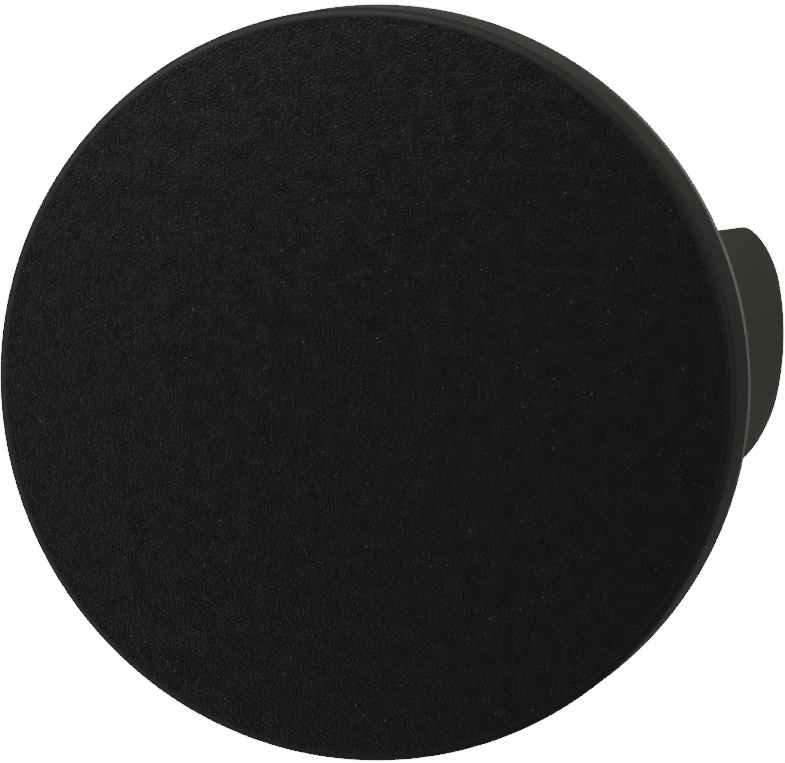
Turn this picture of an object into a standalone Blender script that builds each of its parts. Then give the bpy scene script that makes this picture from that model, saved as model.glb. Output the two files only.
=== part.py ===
"""A round blank desk grommet: a flat cap that clicks into a lined hole and lifts off again.

The liner is a flanged collar with three broad spring legs. Each leg has a foot that is trapped
between a ledge inside the collar and a clamp ring, which three small screws hold up. The cap
carries a spigot with a rubber ring in its groove, which grips the bore of the collar.

Metres, +Z up. The axis of the grommet is Z, and it stands on its leg tips at z = 0.
"""

import math

import bmesh
import bpy
from mathutils import Matrix

# Overall sizes.
OVERALL_HEIGHT = 0.0420
CAP_DIAMETER = 0.0500
NECK_DIAMETER = 0.0394

# Clearances.
GAP = 0.0003
RING_CLEARANCE = 0.0001

# Cap.
CAP_HEIGHT = 0.0051
CAP_WALL = 0.0018
CAP_EDGE_RADIUS = 0.0007
SKIRT_EDGE_RADIUS = 0.0002

# Spigot and rubber ring.
SPIGOT_WALL = 0.0024
SPIGOT_LEAD_IN = 0.0006
RING_SECTION = 0.0014
GROOVE_SIDE_CLEARANCE = 0.0002

# Collar.
FLANGE_EDGE = 0.0006
FLANGE_EDGE_RADIUS = 0.00025
SHOULDER_HEIGHT = 0.0010
NECK_LENGTH = 0.0090
NECK_WALL = 0.0013
NECK_EDGE_RADIUS = 0.0004
LEDGE_DEPTH = 0.0033
LEDGE_THICKNESS = 0.0015
POCKET_RELIEF = 0.0001

# Legs.
LEG_COUNT = 3
LEG_THICKNESS = 0.0016
LEG_ROOT_WIDTH = 0.0185
LEG_TIP_WIDTH = 0.0165
LEG_CORNER_RADIUS = 0.0050
LEG_SPREAD = 0.0014
LEG_STRAIGHT_BELOW_NECK = 0.0005
FOOT_REACH = 0.0015
FOOT_THICKNESS = 0.0015

# Clamp ring and its screws.
CLAMP_WIDTH = 0.0026
CLAMP_THICKNESS = 0.0018
SCREW_DIAMETER = 0.0018
SCREW_LENGTH = 0.0047
SCREW_POINT = 0.0008
SCREW_HOLE_CLEARANCE = 0.0002
HEAD_DIAMETER = 0.0036
HEAD_HEIGHT = 0.0010
HEAD_EDGE_RADIUS = 0.0005
RECESS_WIDTH = 0.0005
RECESS_SPAN = 0.0020
RECESS_DEPTH = 0.0005

# Fineness of the turned shapes.
TURN_STEPS = 72
SCREW_STEPS = 24
RING_SECTION_STEPS = 12
ARC_STEPS_PER_QUARTER = 4
MERGE_DISTANCE = 0.00001

# Heights, from the face down.
FACE_Z = OVERALL_HEIGHT
CAP_UNDERSIDE_Z = FACE_Z - CAP_WALL
SKIRT_BOTTOM_Z = FACE_Z - CAP_HEIGHT
FLANGE_TOP_Z = SKIRT_BOTTOM_Z - GAP
FLANGE_BOTTOM_Z = FLANGE_TOP_Z - FLANGE_EDGE
SHOULDER_TOP_Z = FLANGE_TOP_Z + SHOULDER_HEIGHT
LEDGE_TOP_Z = FLANGE_BOTTOM_Z - LEDGE_DEPTH
LEDGE_BOTTOM_Z = LEDGE_TOP_Z - LEDGE_THICKNESS
FOOT_TOP_Z = LEDGE_BOTTOM_Z - GAP
FOOT_BOTTOM_Z = FOOT_TOP_Z - FOOT_THICKNESS
CLAMP_TOP_Z = FOOT_BOTTOM_Z - GAP
CLAMP_BOTTOM_Z = CLAMP_TOP_Z - CLAMP_THICKNESS
NECK_BOTTOM_Z = FLANGE_BOTTOM_Z - NECK_LENGTH
SPIGOT_TOP_Z = CAP_UNDERSIDE_Z - GAP
SPIGOT_BOTTOM_Z = LEDGE_TOP_Z + GAP
RING_Z = (SHOULDER_TOP_Z + SPIGOT_BOTTOM_Z) / 2
HEAD_TOP_Z = CLAMP_BOTTOM_Z - GAP

# Radii, from the outside in.
CAP_R = CAP_DIAMETER / 2
SKIRT_INNER_R = CAP_R - CAP_WALL
SHOULDER_R = SKIRT_INNER_R - GAP
NECK_R = NECK_DIAMETER / 2
BORE_R = NECK_R - NECK_WALL
SPIGOT_R = BORE_R - GAP
SPIGOT_INNER_R = SPIGOT_R - SPIGOT_WALL
RING_OUTER_R = BORE_R - RING_CLEARANCE
RING_CENTRE_R = RING_OUTER_R - RING_SECTION / 2
GROOVE_R = RING_OUTER_R - RING_SECTION - RING_CLEARANCE
LEG_R = BORE_R - GAP
LEG_INNER_R = LEG_R - LEG_THICKNESS
LEG_TIP_R = NECK_R + LEG_SPREAD
FOOT_INNER_R = LEG_INNER_R - FOOT_REACH
CLAMP_SEAT_R = LEG_INNER_R - GAP
CLAMP_INNER_R = CLAMP_SEAT_R - CLAMP_WIDTH
SCREW_CIRCLE_R = CLAMP_SEAT_R

# The line that each leg flexes about, across the middle of its foot.
HINGE_R = (LEG_R + FOOT_INNER_R) / 2
HINGE_Z = (FOOT_TOP_Z + FOOT_BOTTOM_Z) / 2

POCKET_WIDTH = LEG_ROOT_WIDTH + 2 * GAP


def clear_scene():
    for obj in list(bpy.data.objects):
        bpy.data.objects.remove(obj, do_unlink=True)


def new_collection(name, hidden=False):
    collection = bpy.data.collections.new(name)
    collection.hide_render = hidden
    bpy.context.scene.collection.children.link(collection)
    return collection


def new_material(name, color, roughness, metallic=0.0):
    material = bpy.data.materials.new(name)
    material.use_nodes = True
    shader = material.node_tree.nodes["Principled BSDF"]
    shader.inputs["Base Color"].default_value = (*color, 1.0)
    shader.inputs["Roughness"].default_value = roughness
    shader.inputs["Metallic"].default_value = metallic
    material.diffuse_color = (*color, 1.0)
    return material


def new_object(name, mesh, collection, material=None):
    obj = bpy.data.objects.new(name, mesh)
    collection.objects.link(obj)
    if material is not None and not mesh.materials:
        mesh.materials.append(material)
    return obj


def new_cutter(name, mesh):
    obj = new_object(name, mesh, cutters)
    obj.hide_render = True
    obj.display_type = "WIRE"
    return obj


def rounded(corners, closed):
    """The points of an outline whose corners are (x, y) or (x, y, radius)."""
    points = []
    count = len(corners)
    for i, corner in enumerate(corners):
        x, y = corner[:2]
        radius = corner[2] if len(corner) > 2 else 0.0
        if radius == 0.0 or (not closed and i in (0, count - 1)):
            points.append((x, y))
            continue
        back = (corners[i - 1][0] - x, corners[i - 1][1] - y)
        ahead = (corners[(i + 1) % count][0] - x, corners[(i + 1) % count][1] - y)
        back_angle = math.atan2(back[1], back[0])
        ahead_angle = math.atan2(ahead[1], ahead[0])
        opening = math.remainder(ahead_angle - back_angle, math.tau)
        middle = back_angle + opening / 2
        reach = radius / math.sin(abs(opening) / 2)
        centre = (x + reach * math.cos(middle), y + reach * math.sin(middle))
        swept = math.copysign(math.pi - abs(opening), -opening)
        start = middle + math.pi - swept / 2
        steps = max(1, math.ceil(ARC_STEPS_PER_QUARTER * abs(swept) / (math.pi / 2)))
        for step in range(steps + 1):
            angle = start + swept * step / steps
            points.append((centre[0] + radius * math.cos(angle), centre[1] + radius * math.sin(angle)))
    return points


def turned(name, corners, collection, material=None, closed=True, steps=TURN_STEPS):
    """A shape turned about Z. Its outline of (radius, height) runs down the outer side."""
    points = rounded(corners, closed)
    edges = [(i, i + 1) for i in range(len(points) - 1)]
    if closed:
        edges.append((len(points) - 1, 0))
    mesh = bpy.data.meshes.new(name)
    mesh.from_pydata([(r, 0.0, z) for r, z in points], edges, [])
    if material is None:
        obj = new_cutter(name, mesh)
    else:
        obj = new_object(name, mesh, collection, material)
    screw = obj.modifiers.new("Turn", "SCREW")
    screw.steps = steps
    screw.render_steps = steps
    screw.use_merge_vertices = True
    screw.merge_threshold = MERGE_DISTANCE
    screw.use_smooth_shade = True
    return obj


def rectangle(inner_r, outer_r, bottom_z, top_z):
    return [(outer_r, top_z), (outer_r, bottom_z), (inner_r, bottom_z), (inner_r, top_z)]


def combine(obj, other, operation, solver="EXACT"):
    boolean = obj.modifiers.new(operation.title(), "BOOLEAN")
    boolean.operation = operation
    boolean.solver = solver
    boolean.object = other


def finished_mesh(obj):
    """The mesh that the object's modifiers give, as a mesh of its own."""
    graph = bpy.context.evaluated_depsgraph_get()
    mesh = bpy.data.meshes.new_from_object(obj.evaluated_get(graph))
    mesh.name = obj.name
    return mesh


def prism(name, outline, length):
    """An outline of (y, z) drawn out along +X from the axis, as a cutter."""
    curve = bpy.data.curves.new(name, "CURVE")
    curve.dimensions = "2D"
    curve.fill_mode = "BOTH"
    curve.extrude = length / 2
    spline = curve.splines.new("POLY")
    spline.points.add(len(outline) - 1)
    for point, (y, z) in zip(spline.points, outline):
        point.co = (y, z, 0.0, 1.0)
    spline.use_cyclic_u = True
    drawn = new_object(name + "_outline", curve, cutters)
    mesh = finished_mesh(drawn)
    bpy.data.objects.remove(drawn)
    shape = bmesh.new()
    shape.from_mesh(mesh)
    bmesh.ops.remove_doubles(shape, verts=shape.verts, dist=MERGE_DISTANCE)
    # The outline's own x, y and z become the part's y, z and x.
    stand_up = Matrix(((0, 0, 1, length / 2), (1, 0, 0, 0), (0, 1, 0, 0), (0, 0, 0, 1)))
    bmesh.ops.transform(shape, matrix=stand_up, verts=shape.verts)
    bmesh.ops.recalc_face_normals(shape, faces=shape.faces)
    shape.to_mesh(mesh)
    shape.free()
    return new_cutter(name, mesh)


def around(count, offset=0.0):
    return [offset + math.tau * i / count for i in range(count)]


def leg_window(name, inner_r, outer_r, bottom_z, top_z):
    """A cutter as wide as a leg's pocket, between two radii and two heights, facing +X."""
    ring = turned(name + "_ring", rectangle(inner_r, outer_r, bottom_z, top_z), cutters)
    half = POCKET_WIDTH / 2
    slab = prism(
        name + "_slab",
        [(-half, bottom_z - GAP), (half, bottom_z - GAP), (half, top_z + GAP), (-half, top_z + GAP)],
        CAP_DIAMETER,
    )
    combine(ring, slab, "INTERSECT")
    mesh = finished_mesh(ring)
    bpy.data.objects.remove(ring)
    bpy.data.objects.remove(slab)
    return mesh


def cut_leg_windows(obj, name, inner_r, outer_r, bottom_z, top_z):
    """Three windows. They and the screw holes use the manifold solver, because the exact one leaves
    the thin clamp ring open at some sizes."""
    mesh = leg_window(name, inner_r, outer_r, bottom_z, top_z)
    for i, angle in enumerate(around(LEG_COUNT)):
        cutter = new_cutter(f"{name}_{i + 1}", mesh)
        cutter.rotation_euler.z = angle
        combine(obj, cutter, "DIFFERENCE", "MANIFOLD")


def cut_screw_holes(obj, name, bottom_z, top_z):
    radius = SCREW_DIAMETER / 2 + SCREW_HOLE_CLEARANCE
    hole = turned(
        name,
        [(0.0, top_z), (radius, top_z), (radius, bottom_z), (0.0, bottom_z)],
        cutters,
        closed=False,
        steps=SCREW_STEPS,
    )
    mesh = finished_mesh(hole)
    bpy.data.objects.remove(hole)
    for i, angle in enumerate(screw_angles()):
        cutter = new_cutter(f"{name}_{i + 1}", mesh)
        cutter.location = (SCREW_CIRCLE_R * math.cos(angle), SCREW_CIRCLE_R * math.sin(angle), 0.0)
        combine(obj, cutter, "DIFFERENCE", "MANIFOLD")


def screw_angles():
    """The screws stand half way between the legs."""
    return around(LEG_COUNT, math.pi / LEG_COUNT)


def make_cap_shell(material):
    return turned(
        "cap_shell",
        [
            (0.0, FACE_Z),
            (CAP_R, FACE_Z, CAP_EDGE_RADIUS),
            (CAP_R, SKIRT_BOTTOM_Z, SKIRT_EDGE_RADIUS),
            (SKIRT_INNER_R, SKIRT_BOTTOM_Z, SKIRT_EDGE_RADIUS),
            (SKIRT_INNER_R, CAP_UNDERSIDE_Z),
            (0.0, CAP_UNDERSIDE_Z),
        ],
        parts,
        material,
        closed=False,
    )


def make_cap_spigot(material):
    half_groove = RING_SECTION / 2 + GROOVE_SIDE_CLEARANCE
    return turned(
        "cap_spigot",
        [
            (SPIGOT_R, SPIGOT_TOP_Z),
            (SPIGOT_R, RING_Z + half_groove),
            (GROOVE_R, RING_Z + half_groove),
            (GROOVE_R, RING_Z - half_groove),
            (SPIGOT_R, RING_Z - half_groove),
            (SPIGOT_R, SPIGOT_BOTTOM_Z, SPIGOT_LEAD_IN),
            (SPIGOT_INNER_R, SPIGOT_BOTTOM_Z),
            (SPIGOT_INNER_R, SPIGOT_TOP_Z),
        ],
        parts,
        material,
    )


def make_cap_ring(material):
    bpy.ops.mesh.primitive_torus_add(
        major_radius=RING_CENTRE_R,
        minor_radius=RING_SECTION / 2,
        major_segments=TURN_STEPS,
        minor_segments=RING_SECTION_STEPS,
        location=(0.0, 0.0, RING_Z),
    )
    ring = bpy.context.object
    ring.name = "cap_o_ring"
    ring.data.name = ring.name
    ring.data.shade_smooth()
    ring.data.materials.append(material)
    for collection in list(ring.users_collection):
        collection.objects.unlink(ring)
    parts.objects.link(ring)
    return ring


def make_collar(material):
    collar = turned(
        "liner_collar",
        [
            (BORE_R, SHOULDER_TOP_Z),
            (SHOULDER_R, SHOULDER_TOP_Z),
            (SHOULDER_R, FLANGE_TOP_Z),
            (CAP_R, FLANGE_TOP_Z, FLANGE_EDGE_RADIUS),
            (CAP_R, FLANGE_BOTTOM_Z, FLANGE_EDGE_RADIUS),
            (NECK_R, FLANGE_BOTTOM_Z),
            (NECK_R, NECK_BOTTOM_Z, NECK_EDGE_RADIUS),
            (BORE_R, NECK_BOTTOM_Z),
            (BORE_R, FOOT_BOTTOM_Z),
            (FOOT_INNER_R, FOOT_BOTTOM_Z),
            (FOOT_INNER_R, LEDGE_TOP_Z),
            (BORE_R, LEDGE_TOP_Z),
        ],
        parts,
        material,
    )
    cut_leg_windows(
        collar,
        "pocket",
        FOOT_INNER_R - FOOT_REACH,
        BORE_R + POCKET_RELIEF,
        FOOT_BOTTOM_Z - GAP,
        LEDGE_BOTTOM_Z,
    )
    cut_screw_holes(collar, "pilot_hole", FOOT_BOTTOM_Z - GAP, HEAD_TOP_Z + SCREW_LENGTH + GAP)
    return collar


def make_clamp_ring(material):
    ring = turned(
        "leg_clamp_ring",
        rectangle(CLAMP_INNER_R, LEG_R, CLAMP_BOTTOM_Z, CLAMP_TOP_Z),
        parts,
        material,
    )
    cut_leg_windows(
        ring,
        "blade_window",
        CLAMP_SEAT_R,
        BORE_R,
        CLAMP_BOTTOM_Z - GAP,
        CLAMP_TOP_Z + GAP,
    )
    cut_screw_holes(ring, "clearance_hole", CLAMP_BOTTOM_Z - GAP, CLAMP_TOP_Z + GAP)
    return ring


def leg_outline():
    """The leg laid flat: wide at the root, a little narrower at the tip, with round corners."""
    root = LEG_ROOT_WIDTH / 2
    tip = LEG_TIP_WIDTH / 2
    return rounded(
        [
            (root, FOOT_TOP_Z + GAP),
            (-root, FOOT_TOP_Z + GAP),
            (-root, FOOT_BOTTOM_Z),
            (-tip, 0.0, LEG_CORNER_RADIUS),
            (tip, 0.0, LEG_CORNER_RADIUS),
            (root, FOOT_BOTTOM_Z),
        ],
        closed=True,
    )


def make_leg_mesh(material):
    """One leg, facing +X, with its origin on the line that it flexes about."""
    straight_z = NECK_BOTTOM_Z - LEG_STRAIGHT_BELOW_NECK
    bell = turned(
        "leg_bell",
        [
            (LEG_R, FOOT_TOP_Z),
            (LEG_R, straight_z),
            (LEG_TIP_R, 0.0),
            (LEG_TIP_R - LEG_THICKNESS, 0.0),
            (LEG_INNER_R, straight_z),
            (LEG_INNER_R, FOOT_BOTTOM_Z),
            (FOOT_INNER_R, FOOT_BOTTOM_Z),
            (FOOT_INNER_R, FOOT_TOP_Z),
        ],
        parts,
        material,
    )
    outline = prism("leg_outline", leg_outline(), CAP_DIAMETER)
    combine(bell, outline, "INTERSECT")
    mesh = finished_mesh(bell)
    mesh.name = "leg"
    mesh.transform(Matrix.Translation((-HINGE_R, 0.0, -HINGE_Z)))
    bpy.data.objects.remove(bell)
    bpy.data.objects.remove(outline)
    return mesh


def make_legs(material):
    mesh = make_leg_mesh(material)
    for i, angle in enumerate(around(LEG_COUNT)):
        leg = new_object(f"leg_{i + 1}", mesh, parts, material)
        leg.location = (HINGE_R * math.cos(angle), HINGE_R * math.sin(angle), HINGE_Z)
        leg.rotation_euler.z = angle


def make_screw_mesh(material):
    """A pan-head screw that points up, with its origin on its axis under the head."""
    shank = SCREW_DIAMETER / 2
    head = HEAD_DIAMETER / 2
    screw = turned(
        "screw_blank",
        [
            (0.0, SCREW_LENGTH),
            (shank / 3, SCREW_LENGTH),
            (shank, SCREW_LENGTH - SCREW_POINT),
            (shank, 0.0),
            (head, 0.0),
            (head, -HEAD_HEIGHT, HEAD_EDGE_RADIUS),
            (0.0, -HEAD_HEIGHT),
        ],
        parts,
        material,
        closed=False,
        steps=SCREW_STEPS,
    )
    slots = []
    for i, size in enumerate(((RECESS_SPAN, RECESS_WIDTH), (RECESS_WIDTH, RECESS_SPAN))):
        slot = bmesh.new()
        bmesh.ops.create_cube(slot, size=1.0)
        bmesh.ops.scale(slot, vec=(*size, 2 * RECESS_DEPTH), verts=slot.verts)
        bmesh.ops.translate(slot, vec=(0.0, 0.0, -HEAD_HEIGHT), verts=slot.verts)
        mesh = bpy.data.meshes.new(f"recess_{i + 1}")
        slot.to_mesh(mesh)
        slot.free()
        slots.append(new_cutter(mesh.name, mesh))
        combine(screw, slots[-1], "DIFFERENCE")
    mesh = finished_mesh(screw)
    mesh.name = "clamp_screw"
    bpy.data.objects.remove(screw)
    for slot in slots:
        bpy.data.objects.remove(slot)
    return mesh


def make_screws(material):
    mesh = make_screw_mesh(material)
    for i, angle in enumerate(screw_angles()):
        screw = new_object(f"clamp_screw_{i + 1}", mesh, parts, material)
        screw.location = (
            SCREW_CIRCLE_R * math.cos(angle),
            SCREW_CIRCLE_R * math.sin(angle),
            HEAD_TOP_Z,
        )
        screw.rotation_euler.z = angle


clear_scene()
parts = new_collection("desk_grommet")
cutters = new_collection("cutters", hidden=True)

cap_plastic = new_material("cap_plastic", (0.012, 0.011, 0.011), 0.5)
spigot_plastic = new_material("spigot_plastic", (0.014, 0.013, 0.013), 0.45)
ring_rubber = new_material("ring_rubber", (0.008, 0.008, 0.008), 0.7)
liner_plastic = new_material("liner_plastic", (0.016, 0.015, 0.014), 0.4)
leg_plastic = new_material("leg_plastic", (0.024, 0.023, 0.020), 0.45)
screw_steel = new_material("screw_steel", (0.45, 0.45, 0.44), 0.35, 1.0)

make_cap_shell(cap_plastic)
make_cap_spigot(spigot_plastic)
make_cap_ring(ring_rubber)
make_collar(liner_plastic)
make_clamp_ring(liner_plastic)
make_legs(leg_plastic)
make_screws(screw_steel)
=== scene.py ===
import math

import bpy
from mathutils import Matrix, Vector


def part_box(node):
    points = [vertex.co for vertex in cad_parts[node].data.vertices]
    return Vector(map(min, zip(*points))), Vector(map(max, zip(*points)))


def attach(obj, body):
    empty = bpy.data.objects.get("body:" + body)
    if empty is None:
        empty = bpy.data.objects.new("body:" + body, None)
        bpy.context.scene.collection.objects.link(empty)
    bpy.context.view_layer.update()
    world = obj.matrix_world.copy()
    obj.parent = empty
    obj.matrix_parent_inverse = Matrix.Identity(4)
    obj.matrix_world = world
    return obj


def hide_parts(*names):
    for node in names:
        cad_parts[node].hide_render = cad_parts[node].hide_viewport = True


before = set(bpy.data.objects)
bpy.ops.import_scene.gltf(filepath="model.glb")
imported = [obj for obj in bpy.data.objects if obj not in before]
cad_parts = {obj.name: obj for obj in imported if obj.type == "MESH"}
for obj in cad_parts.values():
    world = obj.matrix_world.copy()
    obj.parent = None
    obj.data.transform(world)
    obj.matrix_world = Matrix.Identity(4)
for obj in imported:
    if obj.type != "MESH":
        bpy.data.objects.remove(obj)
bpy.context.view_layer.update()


# Collar. One moulding: a thin flange that rests on the worktop, a shoulder that centres the cap, and
# a short neck that goes into the hole. A ledge inside it has three pockets for the feet of the legs
# and three pads with pilot holes between them.
TURN_STEPS = 288
ARC_STEPS = 8
WELD = 0.000002
GAP = 0.0003
FLANGE_EDGE = 0.0006
FLANGE_EDGE_ROUND = 0.00006
FLANGE_BEVEL = 0.00042
SHOULDER_ROUND = 0.00015
NECK_ROUND = 0.0004
BORE_LEAD_IN = 0.0003
NECK_WALL = 0.0013
SHOULDER_HEIGHT = 0.0010
LEDGE_DEPTH = 0.0033
LEDGE_THICKNESS = 0.0015
POCKET_RELIEF = 0.0001
PILOT_DEPTH = 0.0026
SCREW_HOLE_R = 0.0011
SCREW_HOLE_SIDES = 48
CAP_WALL = 0.0018
LEG_COUNT = 3
LEG_THICKNESS = 0.0016
FOOT_REACH = 0.0015

collar_low, collar_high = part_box("liner_collar")
cap_low, cap_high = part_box("cap_shell")
spigot_low, spigot_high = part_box("cap_spigot")
leg_low, leg_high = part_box("leg_1")
clamp_low, clamp_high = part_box("leg_clamp_ring")
screw_low, screw_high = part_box("clamp_screw_2")

flange_r = collar_high.x
shoulder_top = collar_high.z
flange_top = shoulder_top - SHOULDER_HEIGHT
flange_bottom = flange_top - FLANGE_EDGE
ledge_top = flange_bottom - LEDGE_DEPTH
ledge_bottom = ledge_top - LEDGE_THICKNESS
neck_bottom = collar_low.z
bore_r = spigot_high.x + GAP
neck_r = bore_r + NECK_WALL
pad_bottom = clamp_high.z + GAP
shoulder_r = cap_high.x - CAP_WALL - GAP
leg_inner_r = bore_r - GAP - LEG_THICKNESS
foot_inner_r = leg_inner_r - FOOT_REACH
leg_root_width = leg_high.y - leg_low.y
screw_circle_r = -(screw_low.x + screw_high.x) / 2


def rounded(corners):
    """A closed outline of (radius, height) whose corners (r, z, rounding) become short arcs."""
    points = []
    for i, corner in enumerate(corners):
        x, z = corner[:2]
        if len(corner) == 2:
            points.append((x, z))
            continue
        rounding = corner[2]
        before = corners[i - 1]
        after = corners[(i + 1) % len(corners)]
        back = math.atan2(before[1] - z, before[0] - x)
        ahead = math.atan2(after[1] - z, after[0] - x)
        opening = math.remainder(ahead - back, math.tau)
        middle = back + opening / 2
        reach = rounding / math.sin(abs(opening) / 2)
        swept = math.copysign(math.pi - abs(opening), -opening)
        start = middle + math.pi - swept / 2
        for step in range(ARC_STEPS + 1):
            angle = start + swept * step / ARC_STEPS
            points.append(
                (
                    x + reach * math.cos(middle) + rounding * math.cos(angle),
                    z + reach * math.sin(middle) + rounding * math.sin(angle),
                )
            )
    return points


def drawn_round(name, outline, steps=TURN_STEPS):
    """A ring whose wall is drawn from a circle along a closed outline, one extrusion at a time."""
    bpy.ops.object.select_all(action="DESELECT")
    bpy.ops.mesh.primitive_circle_add(
        vertices=steps, radius=outline[0][0], location=(0, 0, outline[0][1])
    )
    piece = bpy.context.object
    piece.name = name
    bpy.ops.object.transform_apply(location=True, rotation=True, scale=True)
    bpy.ops.object.mode_set(mode="EDIT")
    bpy.ops.mesh.select_mode(type="EDGE")
    bpy.ops.mesh.select_all(action="SELECT")
    for (r, z), (next_r, next_z) in zip(outline, outline[1:] + outline[:1]):
        bpy.ops.mesh.extrude_region_move(TRANSFORM_OT_translate={"value": (0, 0, next_z - z)})
        bpy.ops.transform.resize(
            value=(next_r / r, next_r / r, 1), center_override=(0, 0, next_z)
        )
    weld_and_face_out()
    bpy.ops.object.mode_set(mode="OBJECT")
    return piece


def weld_and_face_out():
    """In edit mode, joins the places where an outline meets itself and turns the faces outwards."""
    bpy.ops.mesh.select_all(action="SELECT")
    bpy.ops.mesh.remove_doubles(threshold=WELD)
    bpy.ops.mesh.normals_make_consistent(inside=False)


def pick(piece):
    """Makes a piece the only one selected, and the active one."""
    bpy.ops.object.select_all(action="DESELECT")
    bpy.context.view_layer.objects.active = piece
    piece.select_set(True)


def use_modifier(piece, kind, **settings):
    """Adds a modifier and applies it at once."""
    pick(piece)
    modifier = piece.modifiers.new(kind.title(), kind)
    for key, value in settings.items():
        setattr(modifier, key, value)
    bpy.ops.object.modifier_apply(modifier=modifier.name)


def place(piece, turn=0.0, move=(0.0, 0.0, 0.0)):
    """Turns a piece about Z and moves it, in its mesh, so that its object stays at the origin."""
    piece.data.transform(Matrix.Translation(move) @ Matrix.Rotation(turn, 4, "Z"))


def copy_of(piece, name):
    """A second piece with a mesh of its own."""
    twin = piece.copy()
    twin.data = piece.data.copy()
    twin.name = name
    bpy.context.scene.collection.objects.link(twin)
    return twin


def discard(piece):
    """Removes a cutter or a guide that has done its work."""
    bpy.data.objects.remove(piece, do_unlink=True)


def weld_cuts(piece):
    """Welds the near-doubles that a cut leaves along its edges, so that the mesh stays closed."""
    pick(piece)
    bpy.ops.object.mode_set(mode="EDIT")
    bpy.ops.mesh.select_mode(type="VERT")
    bpy.ops.mesh.select_all(action="SELECT")
    bpy.ops.mesh.remove_doubles(threshold=WELD)
    bpy.ops.object.mode_set(mode="OBJECT")


def shade(piece, sharp_above=32):
    """Shades a piece smooth, but for edges that turn by more than an angle in degrees."""
    pick(piece)
    bpy.ops.object.shade_smooth_by_angle(angle=math.radians(sharp_above))


def leg_angles(between=False):
    """The directions of the legs, or of the gaps between them."""
    offset = math.pi / LEG_COUNT if between else 0.0
    return [offset + math.tau * i / LEG_COUNT for i in range(LEG_COUNT)]


def cut_leg_windows(piece, inner_r, outer_r, bottom, top):
    """Cuts an arc-shaped window for each leg, a clearance wider than the leg on both sides."""
    window = drawn_round(
        "window", [(inner_r, top), (outer_r, top), (outer_r, bottom), (inner_r, bottom)]
    )
    bpy.ops.mesh.primitive_cube_add(size=1, location=(flange_r / 2, 0, (top + bottom) / 2))
    slab = bpy.context.object
    slab.scale = (flange_r, leg_root_width + 2 * GAP, 2 * (top - bottom))
    bpy.ops.object.transform_apply(location=True, rotation=True, scale=True)
    use_modifier(window, "BOOLEAN", operation="INTERSECT", object=slab)
    discard(slab)
    for angle in leg_angles():
        cutter = copy_of(window, "window_cutter")
        place(cutter, angle)
        use_modifier(piece, "BOOLEAN", operation="DIFFERENCE", object=cutter)
        discard(cutter)
    discard(window)


def drill(piece, radius, bottom, top):
    """Drills a hole for each screw, half way between the legs."""
    for angle in leg_angles(between=True):
        bpy.ops.mesh.primitive_cylinder_add(
            vertices=SCREW_HOLE_SIDES,
            radius=radius,
            depth=top - bottom,
            location=(
                screw_circle_r * math.cos(angle),
                screw_circle_r * math.sin(angle),
                (top + bottom) / 2,
            ),
        )
        bit = bpy.context.object
        use_modifier(piece, "BOOLEAN", operation="DIFFERENCE", object=bit)
        discard(bit)


collar = drawn_round(
    "collar",
    rounded(
        [
            (bore_r, shoulder_top, BORE_LEAD_IN),
            (shoulder_r, shoulder_top, SHOULDER_ROUND),
            (shoulder_r, flange_top),
            (flange_r - FLANGE_BEVEL, flange_top, FLANGE_EDGE_ROUND),
            (flange_r, flange_top - FLANGE_BEVEL, FLANGE_EDGE_ROUND),
            (flange_r, flange_bottom, FLANGE_EDGE_ROUND),
            (neck_r, flange_bottom),
            (neck_r, neck_bottom, NECK_ROUND),
            (bore_r, neck_bottom, NECK_ROUND),
            (bore_r, pad_bottom),
            (foot_inner_r, pad_bottom),
            (foot_inner_r, ledge_top, SHOULDER_ROUND),
            (bore_r, ledge_top),
        ]
    ),
)
cut_leg_windows(
    collar, foot_inner_r - FOOT_REACH, bore_r + POCKET_RELIEF, pad_bottom - GAP, ledge_bottom
)
drill(collar, SCREW_HOLE_R, pad_bottom - GAP, pad_bottom + PILOT_DEPTH)
weld_cuts(collar)
shade(collar)


def new_finish(name):
    """A node material, its shader and the object's own coordinates in metres."""
    material = bpy.data.materials.new(name)
    material.use_nodes = True
    tree = material.node_tree
    coordinates = tree.nodes.new("ShaderNodeTexCoord").outputs["Object"]
    return material, tree, tree.nodes["Principled BSDF"], coordinates


def feed(tree, socket, value):
    """Links another node's output to a socket, or sets the socket to a fixed value."""
    if isinstance(value, bpy.types.NodeSocket):
        tree.links.new(value, socket)
    else:
        socket.default_value = value


def add_node(tree, kind, sockets=None, **settings):
    """A node with its settings, and each named or numbered input linked or set."""
    made = tree.nodes.new(kind)
    for key, value in settings.items():
        setattr(made, key, value)
    for key, value in (sockets or {}).items():
        feed(tree, made.inputs[key], value)
    return made


def noise(tree, coordinates, feature, detail=2.0, roughness=0.5):
    """Cloudy variation from 0 to 1 whose patches are about one feature across, in metres."""
    made = add_node(
        tree,
        "ShaderNodeTexNoise",
        {"Vector": coordinates, "Scale": 1 / feature, "Detail": detail, "Roughness": roughness},
    )
    return made.outputs["Fac"]


def spread(tree, value, low, high, into_low=0.0, into_high=1.0):
    """Stretches a value's range from low and high onto another range, without going past it."""
    made = add_node(
        tree,
        "ShaderNodeMapRange",
        {"Value": value, 1: low, 2: high, 3: into_low, 4: into_high},
        clamp=True,
    )
    return made.outputs["Result"]


def blend_colors(tree, amount, first, second):
    """From the first colour to the second. Each is a triple, or another node's output."""
    made = add_node(tree, "ShaderNodeMix", data_type="RGBA")
    feed(tree, made.inputs["Factor"], amount)
    for name, color in (("A", first), ("B", second)):
        feed(tree, made.inputs[name], (*color, 1.0) if isinstance(color, tuple) else color)
    return made.outputs["Result"]


def relief(tree, height, depth, below=None):
    """A bump of real depth, in metres, laid over another one."""
    made = add_node(tree, "ShaderNodeBump", {"Height": height, "Strength": 1.0, "Distance": depth})
    if below is not None:
        feed(tree, made.inputs["Normal"], below)
    return made.outputs["Normal"]


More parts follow.
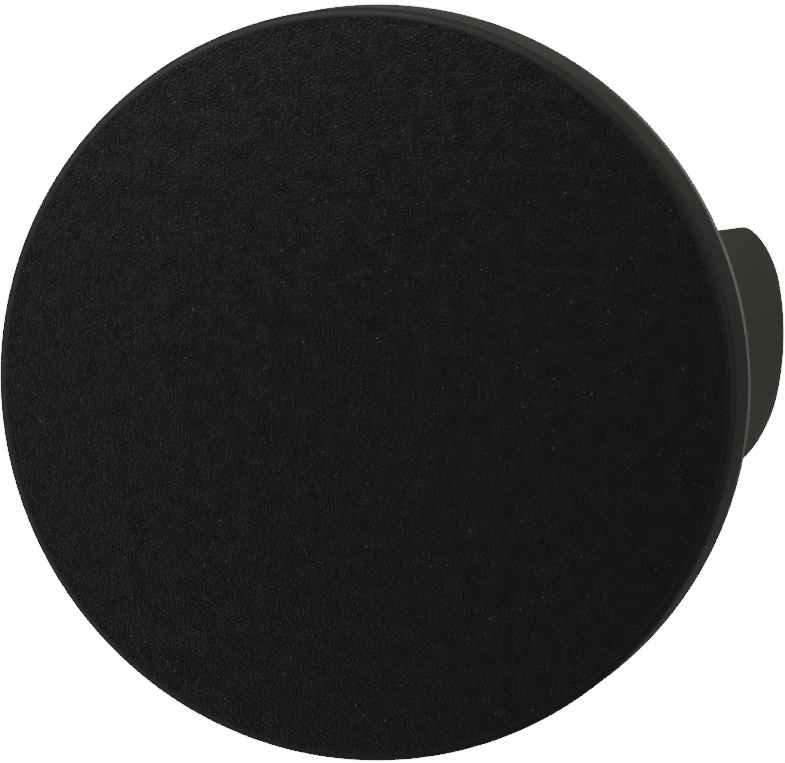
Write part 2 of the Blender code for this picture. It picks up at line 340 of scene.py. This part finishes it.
FLOW_SIZE = 0.006
FLOW_DEPTH = 0.00003
MOTTLE_SIZE = 0.0006
BLAST_SIZE = 0.00012
BLAST_DEPTH = 0.000006
GLOSS_DRIFT = 0.05


def satin_plastic(name, dark, light, roughness, specular, blast_depth=BLAST_DEPTH):
    """Black moulding plastic from a fine-blasted tool: flow clouds, faint mottling and a soft bloom."""
    material, tree, shader, coordinates = new_finish(name)
    clouds = noise(tree, coordinates, FLOW_SIZE, 3.0)
    mottle = noise(tree, coordinates, MOTTLE_SIZE, 2.0)
    blasting = noise(tree, coordinates, BLAST_SIZE, 2.0, 0.6)
    mixed = add_node(tree, "ShaderNodeMath", {0: clouds, 1: mottle}, operation="MULTIPLY")
    shade_amount = spread(tree, mixed.outputs[0], 0.12, 0.40)
    feed(tree, shader.inputs["Base Color"], blend_colors(tree, shade_amount, dark, light))
    worn = spread(tree, clouds, 0.3, 0.7, roughness - GLOSS_DRIFT, roughness + GLOSS_DRIFT)
    feed(tree, shader.inputs["Roughness"], worn)
    shader.inputs["Specular IOR Level"].default_value = specular
    waves = relief(tree, clouds, FLOW_DEPTH)
    feed(tree, shader.inputs["Normal"], relief(tree, blasting, blast_depth, waves))
    return material


LINER_DARK = (0.0260, 0.0252, 0.0225)
LINER_LIGHT = (0.0370, 0.0362, 0.0325)
liner_finish = satin_plastic(
    "liner_satin_black", LINER_DARK, LINER_LIGHT, roughness=0.27, specular=0.90
)


def dress(piece, finish, slot, body, *nodes):
    """Gives a piece its finish, its body, and the model's parts that it stands for. The slot is not
    used.
    """
    piece.data.materials.clear()
    piece.data.materials.append(finish)
    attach(piece, body)
    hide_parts(*nodes)


dress(collar, liner_finish, "liner_plastic", "liner", "liner_collar")


# Legs. Three broad, thin blades moulded in a springier plastic. They follow the curve of the hole,
# spread outwards towards their round-cornered tips, and each hangs from a foot that sits in its
# pocket in the collar.
LEG_TIP_WIDTH = 0.0167
LEG_CORNER = 0.0046
LEG_CORNER_STEPS = 16
LEG_EDGE_ROUND = 0.0002
LEG_EDGE_STEPS = 4
LEG_EDGE_ANGLE = 50
LEG_SPARE = 0.0002
LEG_STRIPS = 44
LEG_BANDS = 10
LEG_STRAIGHT_BELOW_NECK = 0.0005
EJECTOR_HEIGHTS = (0.006, 0.020)
EJECTOR_SIDES = 40
EJECTOR_R = 0.0016
EJECTOR_REACH = 0.002
EJECTOR_DEPTH = 0.00012
leg_outer_r = bore_r - GAP
leg_tip_r = leg_high.x
leg_top = leg_high.z
foot_bottom = pad_bottom
leg_bend = neck_bottom - LEG_STRAIGHT_BELOW_NECK


def select_where(piece, kind, test):
    """In edit mode, selects only the vertices or the faces that pass the test."""
    bpy.ops.mesh.select_all(action="DESELECT")
    bpy.ops.object.mode_set(mode="OBJECT")
    for item in getattr(piece.data, kind):
        item.select = test(item)
    bpy.ops.object.mode_set(mode="EDIT")


# The outer faces of the legs lie on one bell, straight inside the neck and spreading below it.
spread_below = (leg_tip_r - leg_outer_r) * (leg_bend + LEG_SPARE) / leg_bend
bell = drawn_round(
    "bell",
    [
        (leg_outer_r, leg_top + GAP),
        (leg_outer_r, leg_bend),
        (leg_outer_r + spread_below, -LEG_SPARE),
        (leg_outer_r + spread_below, -LEG_SPARE - GAP),
        (foot_inner_r, -LEG_SPARE - GAP),
        (foot_inner_r, leg_top + GAP),
    ],
)

# A flat blade is drawn just outside the bell and pressed onto it. It is a little too long until it has
# its thickness and its rounded edges, and is then cut level.
bpy.ops.object.select_all(action="DESELECT")
bpy.ops.mesh.primitive_plane_add(
    size=1, location=(flange_r, 0, (leg_top + foot_bottom) / 2), rotation=(0, math.pi / 2, 0)
)
leg = bpy.context.object
leg.name = "leg_blade_1"
leg.scale = (leg_top - foot_bottom, leg_root_width, 1)
bpy.ops.object.transform_apply(location=True, rotation=True, scale=True)
bpy.ops.object.mode_set(mode="EDIT")
bpy.ops.mesh.select_mode(type="VERT")
select_where(leg, "vertices", lambda v: v.co.z < (leg_top + foot_bottom) / 2)
bpy.ops.mesh.extrude_region_move(
    TRANSFORM_OT_translate={"value": (0, 0, -LEG_SPARE - foot_bottom)}
)
bpy.ops.transform.resize(
    value=(1, LEG_TIP_WIDTH / leg_root_width, 1), center_override=(0, 0, 0)
)
bpy.ops.mesh.bevel(
    offset=LEG_CORNER, offset_type="OFFSET", segments=LEG_CORNER_STEPS, affect="VERTICES"
)
for strip in range(1, LEG_STRIPS):
    bpy.ops.mesh.select_all(action="SELECT")
    across = leg_root_width * (strip / LEG_STRIPS - 0.5)
    bpy.ops.mesh.bisect(plane_co=(0, across, 0), plane_no=(0, 1, 0))
for band in range(1, LEG_BANDS + 1):
    bpy.ops.mesh.select_all(action="SELECT")
    bpy.ops.mesh.bisect(plane_co=(0, 0, leg_bend * band / LEG_BANDS), plane_no=(0, 0, 1))
bpy.ops.object.mode_set(mode="OBJECT")
use_modifier(
    leg,
    "SHRINKWRAP",
    target=bell,
    wrap_method="PROJECT",
    use_project_x=True,
    use_negative_direction=True,
    use_positive_direction=False,
)
discard(bell)
bpy.ops.object.mode_set(mode="EDIT")
weld_and_face_out()
bpy.ops.object.mode_set(mode="OBJECT")
# An open sheet has no inside, so its faces are turned the way that the blade's outer face points.
if leg.data.polygons[0].normal.x < 0:
    leg.data.flip_normals()
use_modifier(leg, "SOLIDIFY", thickness=LEG_THICKNESS, offset=-1.0, use_even_offset=True)
bpy.ops.object.mode_set(mode="EDIT")
bpy.ops.mesh.select_mode(type="FACE")
select_where(
    leg,
    "polygons",
    lambda p: p.center.z > foot_bottom
    and math.hypot(p.center.x, p.center.y) < leg_inner_r + LEG_THICKNESS / 4
    and abs(p.normal.z) < 0.5
    and p.normal.x < -0.5,
)
bpy.ops.mesh.extrude_region_shrink_fatten(TRANSFORM_OT_shrink_fatten={"value": FOOT_REACH})
bpy.ops.object.mode_set(mode="OBJECT")
use_modifier(
    leg,
    "BEVEL",
    width=LEG_EDGE_ROUND,
    segments=LEG_EDGE_STEPS,
    limit_method="ANGLE",
    angle_limit=math.radians(LEG_EDGE_ANGLE),
    use_clamp_overlap=False,
)
bpy.ops.object.mode_set(mode="EDIT")
bpy.ops.mesh.select_all(action="SELECT")
bpy.ops.mesh.bisect(
    plane_co=(0, 0, 0), plane_no=(0, 0, 1), use_fill=True, clear_inner=True, threshold=WELD
)
bpy.ops.object.mode_set(mode="OBJECT")
for mark_z in EJECTOR_HEIGHTS:
    bpy.ops.mesh.primitive_cylinder_add(
        vertices=EJECTOR_SIDES,
        radius=EJECTOR_R,
        depth=EJECTOR_REACH,
        location=(leg_inner_r - EJECTOR_REACH / 2 + EJECTOR_DEPTH, 0, mark_z),
        rotation=(0, math.pi / 2, 0),
    )
    pin = bpy.context.object
    pin.location.x += (leg_tip_r - leg_outer_r) * (leg_bend - mark_z) / leg_bend
    use_modifier(leg, "BOOLEAN", operation="DIFFERENCE", object=pin)
    discard(pin)
weld_cuts(leg)
shade(leg, sharp_above=40)

LEG_DARK = (0.0360, 0.0353, 0.0305)
LEG_LIGHT = (0.0480, 0.0470, 0.0410)
leg_finish = satin_plastic(
    "leg_smooth_black", LEG_DARK, LEG_LIGHT, roughness=0.50, specular=0.45
)
legs = [leg] + [copy_of(leg, f"leg_blade_{i}") for i in range(2, LEG_COUNT + 1)]
for number, (blade, angle) in enumerate(zip(legs, leg_angles()), 1):
    place(blade, angle)
    dress(blade, leg_finish, "leg_plastic", f"leg_{number}", f"leg_{number}")


# Clamp ring. A flat moulded ring inside the neck that traps the three feet from below. Its three ears
# reach out between the legs and take the screws.
CLAMP_ROUND = 0.0003
CLAMP_WIDTH = 0.0026
clamp_seat_r = leg_inner_r - GAP
clamp_outer_r = -clamp_low.x

clamp_ring = drawn_round(
    "clamp_ring",
    rounded(
        [
            (clamp_outer_r, clamp_high.z),
            (clamp_outer_r, clamp_low.z, CLAMP_ROUND),
            (clamp_seat_r - CLAMP_WIDTH, clamp_low.z, CLAMP_ROUND),
            (clamp_seat_r - CLAMP_WIDTH, clamp_high.z, CLAMP_ROUND),
        ]
    ),
)
cut_leg_windows(clamp_ring, clamp_seat_r, neck_r, clamp_low.z - GAP, clamp_high.z + GAP)
drill(clamp_ring, SCREW_HOLE_R, clamp_low.z - GAP, clamp_high.z + GAP)
weld_cuts(clamp_ring)
shade(clamp_ring)
dress(clamp_ring, liner_finish, "liner_plastic", "liner", "leg_clamp_ring")


# Clamp screws. Small zinc-plated thread-forming screws with round pan heads and cross recesses,
# driven up through the ears of the clamp ring into the pads of the collar.
SCREW_SIDES = 48
SHANK_R = 0.0009
THREAD_ROOT_R = 0.00066
THREAD_PITCH = 0.0006
HEAD_HEIGHT = 0.0010
HEAD_ROUND = 0.0005
POINT_LENGTH = 0.0008
RECESS_SPAN = 0.0020
RECESS_WIDTH = 0.00045
RECESS_DEPTH = 0.00055
head_r = (screw_high.x - screw_low.x) / 2
head_top = screw_low.z + HEAD_HEIGHT
thread_end = screw_high.z - POINT_LENGTH


def drawn_solid(name, outline, sides):
    """A solid turned shape: a disc drawn along an open outline and closed at its far end."""
    bpy.ops.object.select_all(action="DESELECT")
    bpy.ops.mesh.primitive_circle_add(
        vertices=sides,
        radius=outline[0][0],
        location=(0, 0, outline[0][1]),
        fill_type="NGON",
    )
    piece = bpy.context.object
    piece.name = name
    bpy.ops.object.transform_apply(location=True, rotation=True, scale=True)
    bpy.ops.object.mode_set(mode="EDIT")
    bpy.ops.mesh.select_mode(type="EDGE")
    bpy.ops.mesh.select_all(action="SELECT")
    bpy.ops.mesh.region_to_loop()
    for (r, z), (next_r, next_z) in zip(outline, outline[1:]):
        bpy.ops.mesh.extrude_edges_move(TRANSFORM_OT_translate={"value": (0, 0, next_z - z)})
        bpy.ops.transform.resize(
            value=(next_r / r, next_r / r, 1), center_override=(0, 0, next_z)
        )
    bpy.ops.mesh.edge_face_add()
    weld_and_face_out()
    bpy.ops.object.mode_set(mode="OBJECT")
    return piece


screw_outline = [(head_r - HEAD_ROUND, screw_low.z)]
for step in range(1, ARC_STEPS + 1):
    angle = math.pi / 2 * step / ARC_STEPS
    screw_outline.append(
        (
            head_r - HEAD_ROUND + HEAD_ROUND * math.sin(angle),
            screw_low.z + HEAD_ROUND - HEAD_ROUND * math.cos(angle),
        )
    )
screw_outline.append((head_r, head_top))
screw_outline.append((SHANK_R, head_top))
thread_z = head_top + THREAD_PITCH / 2
while thread_z + THREAD_PITCH / 2 < thread_end:
    screw_outline.append((THREAD_ROOT_R, thread_z))
    screw_outline.append((SHANK_R, thread_z + THREAD_PITCH / 2))
    thread_z += THREAD_PITCH
screw_outline.append((THREAD_ROOT_R, thread_end))
screw_outline.append((SHANK_R / 4, screw_high.z))
screw = drawn_solid("screw_1", screw_outline, SCREW_SIDES)
for size in ((RECESS_SPAN, RECESS_WIDTH), (RECESS_WIDTH, RECESS_SPAN)):
    bpy.ops.mesh.primitive_cube_add(size=1, location=(0, 0, screw_low.z))
    driver = bpy.context.object
    driver.scale = (*size, 2 * RECESS_DEPTH)
    use_modifier(screw, "BOOLEAN", operation="DIFFERENCE", object=driver)
    discard(driver)
shade(screw)

ZINC_DULL = (0.42, 0.42, 0.41)
ZINC_BRIGHT = (0.55, 0.54, 0.50)
ZINC_ROUGHNESS = (0.28, 0.42)
BLOOM_SIZE = 0.0008
TOOL_MARK_SIZE = 0.00006
TOOL_MARK_DEPTH = 0.000004
steel, tree, shader, coordinates = new_finish("screw_zinc_plate")
bloom = noise(tree, coordinates, BLOOM_SIZE, 3.0)
tool_marks = noise(tree, coordinates, TOOL_MARK_SIZE, 2.0)
zinc = blend_colors(tree, spread(tree, bloom, 0.35, 0.65), ZINC_DULL, ZINC_BRIGHT)
feed(tree, shader.inputs["Base Color"], zinc)
feed(tree, shader.inputs["Roughness"], spread(tree, bloom, 0.3, 0.7, *ZINC_ROUGHNESS))
feed(tree, shader.inputs["Normal"], relief(tree, tool_marks, TOOL_MARK_DEPTH))
shader.inputs["Metallic"].default_value = 1.0

screws = [screw] + [copy_of(screw, f"screw_{i}") for i in range(2, LEG_COUNT + 1)]
for number, (fixing, angle) in enumerate(zip(screws, leg_angles(between=True)), 1):
    place(
        fixing, angle, (screw_circle_r * math.cos(angle), screw_circle_r * math.sin(angle), 0)
    )
    dress(fixing, steel, "screw_steel", "liner", f"clamp_screw_{number}")


# Rubber ring. A moulded ring of soft black rubber, round in section with a faint flash line at its
# widest, which sits in the spigot's groove and grips the bore.
ring_low, ring_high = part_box("cap_o_ring")
RING_SIDES = 24
FLASH_REACH = 0.00003
ring_section_r = (ring_high.z - ring_low.z) / 2

bpy.ops.object.select_all(action="DESELECT")
bpy.ops.mesh.primitive_torus_add(
    major_radius=ring_high.x - ring_section_r,
    minor_radius=ring_section_r - FLASH_REACH,
    major_segments=TURN_STEPS,
    minor_segments=RING_SIDES,
    location=(0, 0, (ring_low.z + ring_high.z) / 2),
)
rubber_ring = bpy.context.object
rubber_ring.name = "rubber_ring"
bpy.ops.object.transform_apply(location=True, rotation=True, scale=True)
bpy.ops.object.mode_set(mode="EDIT")
bpy.ops.mesh.select_mode(type="VERT")
widest = ring_high.x - 2 * FLASH_REACH
select_where(rubber_ring, "vertices", lambda v: math.hypot(v.co.x, v.co.y) > widest)
flash_scale = ring_high.x / (ring_high.x - FLASH_REACH)
bpy.ops.transform.resize(value=(flash_scale, flash_scale, 1), center_override=(0, 0, 0))
bpy.ops.object.mode_set(mode="OBJECT")
shade(rubber_ring, sharp_above=60)

RUBBER_CLEAN = (0.006, 0.006, 0.006)
RUBBER_DUSTY = (0.014, 0.014, 0.013)
RUBBER_ROUGHNESS = (0.62, 0.80)
DUST_SIZE = 0.0015
SKIN_SIZE = 0.0001
SKIN_DEPTH = 0.000005
rubber, tree, shader, coordinates = new_finish("ring_soft_rubber")
dust = noise(tree, coordinates, DUST_SIZE, 4.0)
skin = noise(tree, coordinates, SKIN_SIZE, 2.0)
black = blend_colors(tree, spread(tree, dust, 0.35, 0.7), RUBBER_CLEAN, RUBBER_DUSTY)
feed(tree, shader.inputs["Base Color"], black)
feed(tree, shader.inputs["Roughness"], spread(tree, dust, 0.3, 0.7, *RUBBER_ROUGHNESS))
feed(tree, shader.inputs["Normal"], relief(tree, skin, SKIN_DEPTH))
dress(rubber_ring, rubber, "ring_rubber", "seal", "cap_o_ring")


# Spigot. A moulded ring welded under the cap, so that no thick wall sinks the flat face above it. It
# has a lead-in at its lower edge and a square groove for the rubber ring.
SPIGOT_WALL = 0.0024
SPIGOT_LEAD_IN = 0.0006
SPIGOT_ROUND = 0.0002
GROOVE_CLEARANCE = 0.0002
RING_CLEARANCE = 0.0001
spigot_r = spigot_high.x
groove_r = ring_high.x - 2 * ring_section_r - RING_CLEARANCE
groove_top = ring_high.z + GROOVE_CLEARANCE
groove_bottom = ring_low.z - GROOVE_CLEARANCE

spigot = drawn_round(
    "spigot",
    rounded(
        [
            (spigot_r, spigot_high.z),
            (spigot_r, groove_top, SPIGOT_ROUND / 2),
            (groove_r, groove_top),
            (groove_r, groove_bottom),
            (spigot_r, groove_bottom, SPIGOT_ROUND / 2),
            (spigot_r, spigot_low.z, SPIGOT_LEAD_IN),
            (spigot_r - SPIGOT_WALL, spigot_low.z, SPIGOT_ROUND),
            (spigot_r - SPIGOT_WALL, spigot_high.z),
        ]
    ),
)
shade(spigot)
SPIGOT_DARK = (0.0100, 0.0095, 0.0095)
SPIGOT_LIGHT = (0.0160, 0.0155, 0.0150)
spigot_finish = satin_plastic(
    "spigot_satin_black", SPIGOT_DARK, SPIGOT_LIGHT, roughness=0.45, specular=0.45
)
dress(spigot, spigot_finish, "spigot_plastic", "cap", "cap_spigot")


# Cap. A shallow moulded lid: a flat face with a fine even grain from an etched tool, a softly rounded
# front edge, and a finely blasted satin side. Six low ribs under the face keep it flat.
CAP_EDGE_ROUND = 0.0006
SKIRT_ROUND = 0.0002
RIB_COUNT = 6
RIB_HEIGHT = 0.0005
RIB_WIDTH = 0.0008
RIB_INNER = 0.0020
cap_r = cap_high.x
face_z = cap_high.z
cap_underside = face_z - CAP_WALL
skirt_inner_r = cap_r - CAP_WALL


def arc(centre_r, centre_z, rounding, start, end):
    """Points along an arc of an outline, with its angles in degrees from the outward direction."""
    points = []
    for step in range(ARC_STEPS + 1):
        angle = math.radians(start + (end - start) * step / ARC_STEPS)
        points.append(
            (centre_r + rounding * math.cos(angle), centre_z + rounding * math.sin(angle))
        )
    return points


cap = drawn_solid(
    "cap",
    arc(cap_r - CAP_EDGE_ROUND, face_z - CAP_EDGE_ROUND, CAP_EDGE_ROUND, 90, 0)
    + arc(cap_r - SKIRT_ROUND, cap_low.z + SKIRT_ROUND, SKIRT_ROUND, 0, -90)
    + arc(skirt_inner_r + SKIRT_ROUND, cap_low.z + SKIRT_ROUND, SKIRT_ROUND, -90, -180)
    + [(skirt_inner_r, cap_underside)],
    TURN_STEPS,
)
rib_length = spigot_r - SPIGOT_WALL - GAP - RIB_INNER
for i in range(RIB_COUNT):
    angle = math.tau * (i + 0.5) / RIB_COUNT
    bpy.ops.mesh.primitive_cube_add(size=1)
    rib = bpy.context.object
    rib.scale = (rib_length, RIB_WIDTH, 2 * RIB_HEIGHT)
    bpy.ops.object.transform_apply(location=False, rotation=False, scale=True)
    place(rib, move=(RIB_INNER + rib_length / 2, 0, cap_underside))
    place(rib, angle)
    use_modifier(cap, "BOOLEAN", operation="UNION", object=rib)
    discard(rib)
shade(cap)

# The face: fine pebbles over shallow patches and clouds, with glints painted on the pebble tops and as
# small flecks.
CAP_DARK = (0.0053, 0.0042, 0.0047)
CAP_OLIVE = (0.0052, 0.0048, 0.0039)
CAP_PAINTED_GLINT = (0.0230, 0.0196, 0.0200)
CAP_ROUGHNESS = (0.26, 0.40)
GRAIN_SIZE = 0.00015
GRAIN_DEPTH = 0.000032
PATCH_SIZE = 0.0012
PATCH_DEPTH = 0.00002
CLOUD_SIZE = 0.0045
CLOUD_DEPTH = 0.00004
GLINT_SPACING = 0.00050
GLINT_RARITY = 0.50
GLINT_REACH = 0.17
GLINT_BLUR = 0.08
PAINTED_GLINT_COLOR = (0.095, 0.090, 0.085)

face_finish, tree, shader, coordinates = new_finish("cap_grained_black")
pebbles = add_node(
    tree,
    "ShaderNodeTexVoronoi",
    {"Vector": coordinates, "Scale": 1 / GRAIN_SIZE, "Smoothness": 0.6, "Randomness": 1.0},
    feature="SMOOTH_F1",
)
fine = noise(tree, coordinates, GRAIN_SIZE * 0.8, 2.0, 0.6)
patches = noise(tree, coordinates, PATCH_SIZE, 3.0, 0.6)
clouds = noise(tree, coordinates, CLOUD_SIZE, 3.0, 0.6)
heights = add_node(
    tree, "ShaderNodeMath", {0: pebbles.outputs["Distance"], 1: fine}, operation="ADD"
)
# Painted glints: a few small light flecks are painted into the colour, standing in for grain facets
# that catch the light.
painted_glints = add_node(
    tree, "ShaderNodeTexVoronoi", {"Vector": coordinates, "Scale": 1 / GLINT_SPACING}
)
glint_kind = add_node(tree, "ShaderNodeSeparateColor", {0: painted_glints.outputs["Color"]})
glint_reach = spread(tree, glint_kind.outputs[0], GLINT_RARITY, 1.0, 0.0, GLINT_REACH)
glint = add_node(
    tree, "ShaderNodeMath", {0: glint_reach, 1: painted_glints.outputs["Distance"]}, operation="SUBTRACT"
)
painted_glint_amount = spread(tree, glint.outputs[0], 0.0, GLINT_BLUR)
hollows = blend_colors(tree, spread(tree, clouds, 0.4, 0.6), CAP_DARK, CAP_OLIVE)
# Painted glints: where the fine noise raises the grain, its colour is painted lighter.
painted_glint_grain = blend_colors(tree, spread(tree, fine, 0.50, 0.75), hollows, CAP_PAINTED_GLINT)
with_painted_glints = blend_colors(tree, painted_glint_amount, painted_glint_grain, PAINTED_GLINT_COLOR)
feed(tree, shader.inputs["Base Color"], with_painted_glints)
feed(tree, shader.inputs["Roughness"], spread(tree, patches, 0.35, 0.65, *CAP_ROUGHNESS))
rolling = relief(tree, clouds, CLOUD_DEPTH)
uneven = relief(tree, patches, PATCH_DEPTH, rolling)
feed(tree, shader.inputs["Normal"], relief(tree, heights.outputs[0], GRAIN_DEPTH, uneven))
shader.inputs["Specular IOR Level"].default_value = 0.4

SIDE_DARK = (0.0058, 0.0056, 0.0050)
SIDE_LIGHT = (0.0105, 0.0102, 0.0092)
SIDE_BLAST_DEPTH = 0.000014
side_finish = satin_plastic(
    "cap_satin_side",
    SIDE_DARK,
    SIDE_LIGHT,
    roughness=0.58,
    specular=0.42,
    blast_depth=SIDE_BLAST_DEPTH,
)
dress(cap, face_finish, "cap_plastic", "cap", "cap_shell")
cap.data.materials.append(side_finish)

# The flat face alone has the grain. The rounded edge, the side and the underside are satin.
face_limit = face_z - CAP_EDGE_ROUND / 1000
for polygon in cap.data.polygons:
    polygon.material_index = 0 if polygon.center.z > face_limit else 1


# Table. A pale light table that the grommet stands on, wide enough to fill every view. Its glow hides
# shadows, and it is kept out of the grommet's own light and reflections.
TABLE_SIZE = 6.0
TABLE_GLOW = 16.0
TABLE_MOTTLE = 0.02
TABLE_GREY = (0.86, 0.86, 0.85)
TABLE_WHITE = (0.88, 0.88, 0.875)
bpy.ops.object.select_all(action="DESELECT")
bpy.ops.mesh.primitive_plane_add(size=TABLE_SIZE, location=(0, 0, 0))
table = bpy.context.object
table.name = "table"
paper, tree, shader, coordinates = new_finish("table_pale")
mottle = noise(tree, coordinates, TABLE_MOTTLE, 3.0)
pale = blend_colors(tree, mottle, TABLE_GREY, TABLE_WHITE)
feed(tree, shader.inputs["Base Color"], pale)
feed(tree, shader.inputs["Emission Color"], pale)
shader.inputs["Emission Strength"].default_value = TABLE_GLOW
shader.inputs["Roughness"].default_value = 0.8
shader.inputs["Specular IOR Level"].default_value = 0.1
table.data.materials.append(paper)
table.visible_glossy = False
table.visible_diffuse = False
table.visible_shadow = False


# Light. A small soft box close behind the cap skims its grain, a wide low one draws the bright line on
# the flange, and a third fills in from the other side. The dim room is lighter low down, in front and
# behind.
def soft_box(name, direction, elevation, distance, width, height, power):
    """A soft light aimed at the grommet, placed by compass angle and height in degrees."""
    lamp = bpy.data.lights.new(name, "AREA")
    lamp.shape = "RECTANGLE"
    lamp.size = width
    lamp.size_y = height
    lamp.energy = power
    box = bpy.data.objects.new(name, lamp)
    bpy.context.scene.collection.objects.link(box)
    box.visible_camera = False
    turn = math.radians(direction)
    rise = math.radians(elevation)
    towards = Vector(
        (math.cos(turn) * math.cos(rise), math.sin(turn) * math.cos(rise), math.sin(rise))
    )
    middle = Vector((0, 0, face_z))
    box.location = middle + distance * towards
    box.rotation_euler = towards.to_track_quat("Z", "Y").to_euler()


soft_box(
    "key_box", direction=115, elevation=30, distance=0.12, width=0.20, height=0.05, power=0.125
)
soft_box(
    "side_box", direction=18, elevation=13, distance=0.50, width=0.84, height=0.10, power=0.70
)
soft_box(
    "fill_box", direction=212, elevation=26, distance=0.40, width=0.50, height=0.16, power=0.50
)

ROOM_ABOVE = (0.222, 0.199, 0.204)
ROOM_BELOW = (0.160, 0.157, 0.144)
ROOM_BEHIND = (0.480, 0.470, 0.425)
ROOM_FRONT = (0.300, 0.293, 0.268)
ROOM_SEEN = (14.0, 14.0, 13.9)
room = bpy.data.worlds.new("room")
bpy.context.scene.world = room
room.use_nodes = True
tree = room.node_tree
outwards = tree.nodes.new("ShaderNodeTexCoord").outputs["Generated"]
way = add_node(tree, "ShaderNodeSeparateXYZ", {0: outwards})
behind = spread(tree, way.outputs["Y"], 0.06, 0.42)
in_front = spread(tree, way.outputs["Y"], -0.5, -0.05, 1.0, 0.0)
above = spread(tree, way.outputs["Z"], -0.1, 0.3)
glow = blend_colors(tree, behind, ROOM_BELOW, ROOM_BEHIND)
glow = blend_colors(tree, in_front, glow, ROOM_FRONT)
glow = blend_colors(tree, above, glow, ROOM_ABOVE)
seen_directly = tree.nodes.new("ShaderNodeLightPath").outputs["Is Camera Ray"]
seen = blend_colors(tree, seen_directly, glow, ROOM_SEEN)
feed(tree, tree.nodes["Background"].inputs["Color"], seen)


# Camera. A long lens looks down on the face from a little to the side of leg 1, and is turned so that
# this leg points right.
CAMERA_DIRECTION = 25.03
CAMERA_ELEVATION = 75.5
CAMERA_ROLL = -113.4
CAMERA_DISTANCE = 0.39945
CAMERA_LENS = 278.3
SENSOR_WIDTH = 36.0
NEAREST_SEEN = 0.01
AIM = Vector((0.00211, 0.00046, face_z))

lens = bpy.data.cameras.new("camera")
lens.lens = CAMERA_LENS
lens.sensor_width = SENSOR_WIDTH
lens.clip_start = NEAREST_SEEN
camera = bpy.data.objects.new("camera", lens)
bpy.context.scene.collection.objects.link(camera)
aim_turn = (
    Matrix.Rotation(math.radians(CAMERA_DIRECTION + 90), 4, "Z")
    @ Matrix.Rotation(math.radians(90 - CAMERA_ELEVATION), 4, "X")
)
back = aim_turn @ Vector((0, 0, 1))
camera.matrix_world = (
    Matrix.Translation(AIM + CAMERA_DISTANCE * back)
    @ aim_turn
    @ Matrix.Rotation(math.radians(CAMERA_ROLL), 4, "Z")
)
bpy.context.scene.camera = camera
